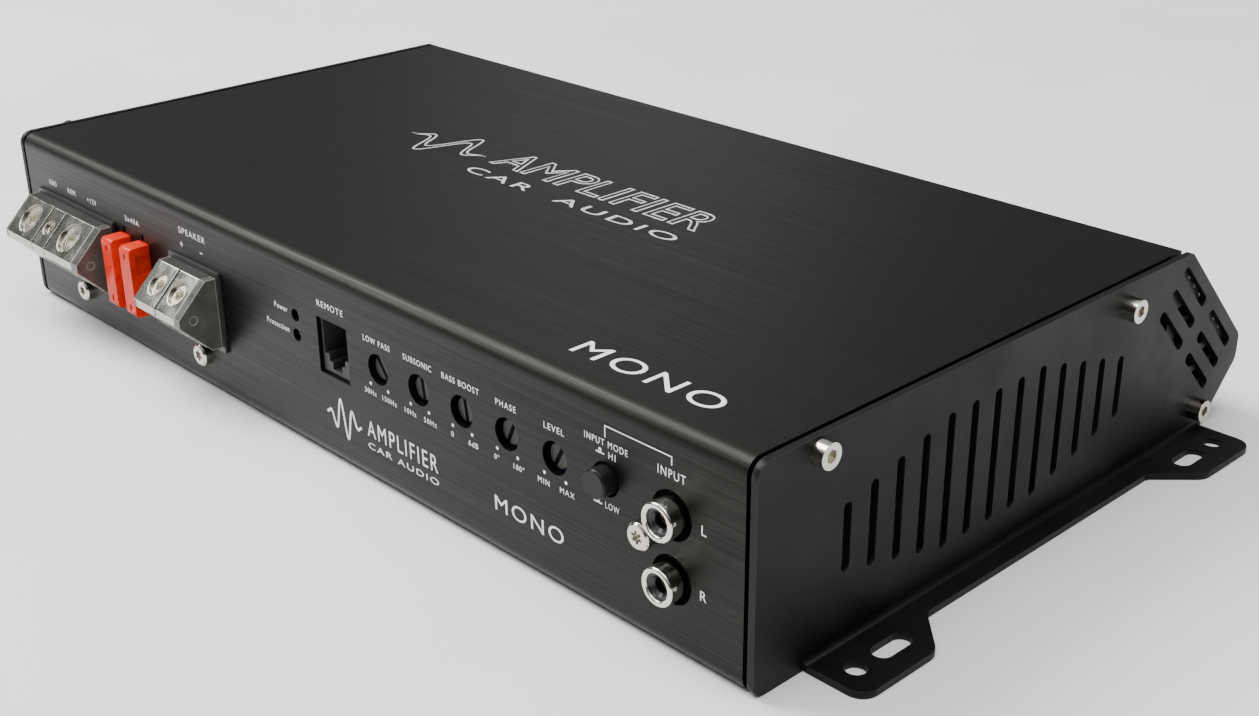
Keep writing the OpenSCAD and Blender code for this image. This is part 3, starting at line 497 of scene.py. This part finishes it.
def button_marks():
    x, z = middle("mode_button").x, middle("mode_button").z
    return [
        words("INPUT MODE", facing_panel(x + 0.2 * MM, z + 7.9 * MM), SMALL, 12.3 * MM),
        *push_symbol(x - 1.5 * MM, z + 5.4 * MM),
        words("HI", facing_panel(x + 1.9 * MM, z + 5.6 * MM), SMALL, 2.0 * MM),
        *push_symbol(x - 2.3 * MM, z - 5.9 * MM),
        words("LOW", facing_panel(x + 1.8 * MM, z - 5.7 * MM), SMALL, 4.0 * MM),
    ]


def phono_marks():
    low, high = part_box("phono_barrels")
    x = (low.x + high.x) / 2
    button = middle("mode_button")
    top = button.z + 11.7 * MM
    bracket = [(button.x, button.z + 9.2 * MM), (button.x, top), (x, top), (x, button.z + 9.9 * MM)]
    side = high.x + 4.3 * MM
    return [
        strip(bracket, 0.28 * MM, facing_panel(0, 0)),
        words("INPUT", facing_panel(x, button.z + 8.0 * MM), 1.9 * MM, 7.4 * MM),
        words("L", facing_panel(side, high.z - 4.1 * MM), 2.1 * MM),
        words("R", facing_panel(side, low.z + 4.1 * MM), 2.1 * MM),
    ]


def terminal_marks():
    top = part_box("power_housing")[1].z
    speaker = middle("speaker_housing").x
    plus, minus = middle("speaker_plus_terminal").x, middle("speaker_minus_terminal").x
    fuses = (middle("fuse_1_head").x + middle("fuse_2_head").x) / 2
    supply = middle("supply_terminal").x
    return [
        words("GND", facing_panel(middle("gnd_terminal").x, top + 3 * MM), SMALL, 4.4 * MM),
        words("REM", facing_panel(middle("remote_terminal").x, top + 3 * MM), SMALL, 4.4 * MM),
        words("+12V", facing_panel(supply, top + 3 * MM), SMALL, 5.2 * MM),
        words("2x40A", facing_panel(fuses, top + 3 * MM), SMALL, 7.6 * MM),
        words("SPEAKER", facing_panel(speaker, top + 7.1 * MM), 1.7 * MM, 12.7 * MM),
        words("+", facing_panel(plus, top + 3.2 * MM), 1.5 * MM),
        strip([(-0.65 * MM, 0), (0.65 * MM, 0)], 0.35 * MM, facing_panel(minus, top + 3.2 * MM)),
    ]


def lamp_and_jack_marks():
    jack_low, jack_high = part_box("remote_jack")
    marks = [words("REMOTE", facing_panel((jack_low.x + jack_high.x) / 2, jack_high.z + 3.7 * MM),
                   1.6 * MM, 10.4 * MM)]
    for node, text, width in (("power_led", "Power", 5.6 * MM), ("protection_led", "Protection", 9.6 * MM)):
        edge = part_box(node)[0].x - 1.4 * MM
        marks.append(words(text, facing_panel(edge, middle(node).z + 0.4 * MM), SMALL, width, align=1.0))
    return marks


def pulse(width, height, waves=3, shift=0.0):
    """The amplifier's own generic mark: a sound pulse that swells and dies away."""
    steps = 40 * waves
    points = []
    for i in range(steps + 1):
        t = i / steps
        swell = math.sin(math.pi * t) ** 1.5
        wave = math.sin(2 * math.pi * waves * t) * height / 2
        points.append(((t - 0.5) * width, swell * (wave + shift)))
    return points


def front_marks():
    z = 13.2 * MM
    return [
        strip(pulse(14 * MM, 10 * MM), 0.7 * MM, facing_panel(13.5 * MM, z)),
        words("AMPLIFIER", facing_panel(36 * MM, z + 1.2 * MM), 4.2 * MM, 26.5 * MM),
        words("CAR AUDIO", facing_panel(36 * MM, z - 3.3 * MM), 1.6 * MM, 26.5 * MM),
        words("MONO", facing_panel(80 * MM, z), 3.6 * MM, 22 * MM),
    ]


def print_panel():
    marks = front_marks() + button_marks() + phono_marks() + terminal_marks() + lamp_and_jack_marks()
    for node, (title, low, high, width) in KNOBS.items():
        marks += knob_marks(node, title, low, high, width)
    return joined("panel_print", marks, INK_LOOK)


def print_top():
    x, y = 103 * MM, PANEL_Y + 12.8 * MM
    return joined("top_print", [words("MONO", facing_top(x, y), 6.4 * MM, 40 * MM)], INK_LOOK)


def outlined(text, place, height, width):
    curve = bpy.data.curves.new("outline", "FONT")
    curve.body = text
    curve.fill_mode = "NONE"
    curve.bevel_depth = 0.018
    curve.bevel_resolution = 1
    drawing = bpy.data.objects.new("outline", curve)
    bpy.context.scene.collection.objects.link(drawing)
    made = as_mesh(drawing)
    made.data.transform(Matrix.Diagonal((1, 1, 0.004, 1)))
    return fit(made, place, height, width)


def engrave_top():
    """The bright mark in the middle of the top: a pulse, an outlined word and small letters."""
    y = PANEL_Y + 80 * MM
    upper = pulse(32 * MM, 16 * MM, waves=2, shift=2.4 * MM)
    lower = pulse(32 * MM, 16 * MM, waves=2, shift=-2.4 * MM)
    outline = upper + lower[-2:0:-1]
    marks = [
        strip(outline, 0.6 * MM, facing_top(-46 * MM, y), closed=True),
        outlined("AMPLIFIER", facing_top(13.5 * MM, y + 3.5 * MM), 12 * MM, 78 * MM),
        words("CAR  AUDIO", facing_top(14 * MM, y - 9.5 * MM), 4.2 * MM, 78 * MM),
    ]
    return joined("top_engraving", marks, cut_metal())


# ---------------------------------------------------------------- setting

def lay_floor():
    bpy.ops.mesh.primitive_plane_add(size=6, location=(0, 0, cad_low.z))
    floor = bpy.context.object
    floor.name = "floor"
    floor.data.materials.append(studio_floor())


def soft_light(name, location, size, power, color=(1, 1, 1)):
    lamp = bpy.data.lights.new(name, "AREA")
    lamp.shape = "RECTANGLE"
    lamp.size, lamp.size_y = size
    lamp.energy = power
    lamp.color = color
    holder = bpy.data.objects.new(name, lamp)
    holder.location = location
    holder.rotation_euler = (-Vector(location)).to_track_quat("-Z", "Y").to_euler()
    bpy.context.scene.collection.objects.link(holder)


def light_room():
    """An even room that is darker towards the horizon, a soft window and a ceiling light."""
    world = bpy.data.worlds.new("room")
    world.use_nodes = True
    tree = world.node_tree
    place = tree.nodes.new("ShaderNodeTexCoord")
    split = tree.nodes.new("ShaderNodeSeparateXYZ")
    ramp = tree.nodes.new("ShaderNodeMapRange")
    ramp.inputs["From Min"].default_value = 0.3
    ramp.inputs["From Max"].default_value = 0.9
    ramp.inputs["To Min"].default_value = 0.07
    ramp.inputs["To Max"].default_value = 0.82
    tree.links.new(place.outputs["Generated"], split.inputs["Vector"])
    tree.links.new(split.outputs["Z"], ramp.inputs["Value"])
    tree.links.new(ramp.outputs["Result"], tree.nodes["Background"].inputs["Strength"])
    tree.nodes["Background"].inputs["Color"].default_value = (0.97, 0.985, 1.0, 1)
    bpy.context.scene.world = world
    soft_light("window", (-1.15, -0.5, 1.35), (0.9, 1.2), 47)
    soft_light("ceiling", (0.25, -0.5, 1.9), (1.6, 1.6), 38)
    soft_light("far_window", (-1.09, 1.03, 0.75), (0.45, 0.45), 0.6)


CAMERA_ANGLES = (46.551, 24.264, -0.552)      # azimuth, elevation and roll in degrees
CAMERA_DISTANCE = 0.40537
CAMERA_LENS = 48.16


def aim_camera():
    """The camera of the reference view."""
    azimuth, elevation, roll = (math.radians(a) for a in CAMERA_ANGLES)
    target = Vector((49.37 * MM, PANEL_Y + 58.48 * MM, 21.89 * MM))
    back = Vector((math.sin(azimuth) * math.cos(elevation), -math.cos(azimuth) * math.cos(elevation),
                   math.sin(elevation)))
    right = (-back).cross(Vector((0, 0, 1))).normalized()
    up = right.cross(-back)
    x_axis = math.cos(roll) * right + math.sin(roll) * up
    y_axis = math.cos(roll) * up - math.sin(roll) * right
    data = bpy.data.cameras.new("camera")
    data.sensor_width = 36
    data.lens = CAMERA_LENS
    data.clip_start = 0.01
    camera = bpy.data.objects.new("camera", data)
    place = target + back * CAMERA_DISTANCE
    camera.matrix_world = Matrix((
        (x_axis.x, y_axis.x, back.x, place.x),
        (x_axis.y, y_axis.y, back.y, place.y),
        (x_axis.z, y_axis.z, back.z, place.z),
        (0, 0, 0, 1)))
    bpy.context.scene.collection.objects.link(camera)
    bpy.context.scene.camera = camera


INK_LOOK = printed_ink()
dress_nodes()
ease_parts()
print_panel()
print_top()
engrave_top()
lay_floor()
light_room()
aim_camera()
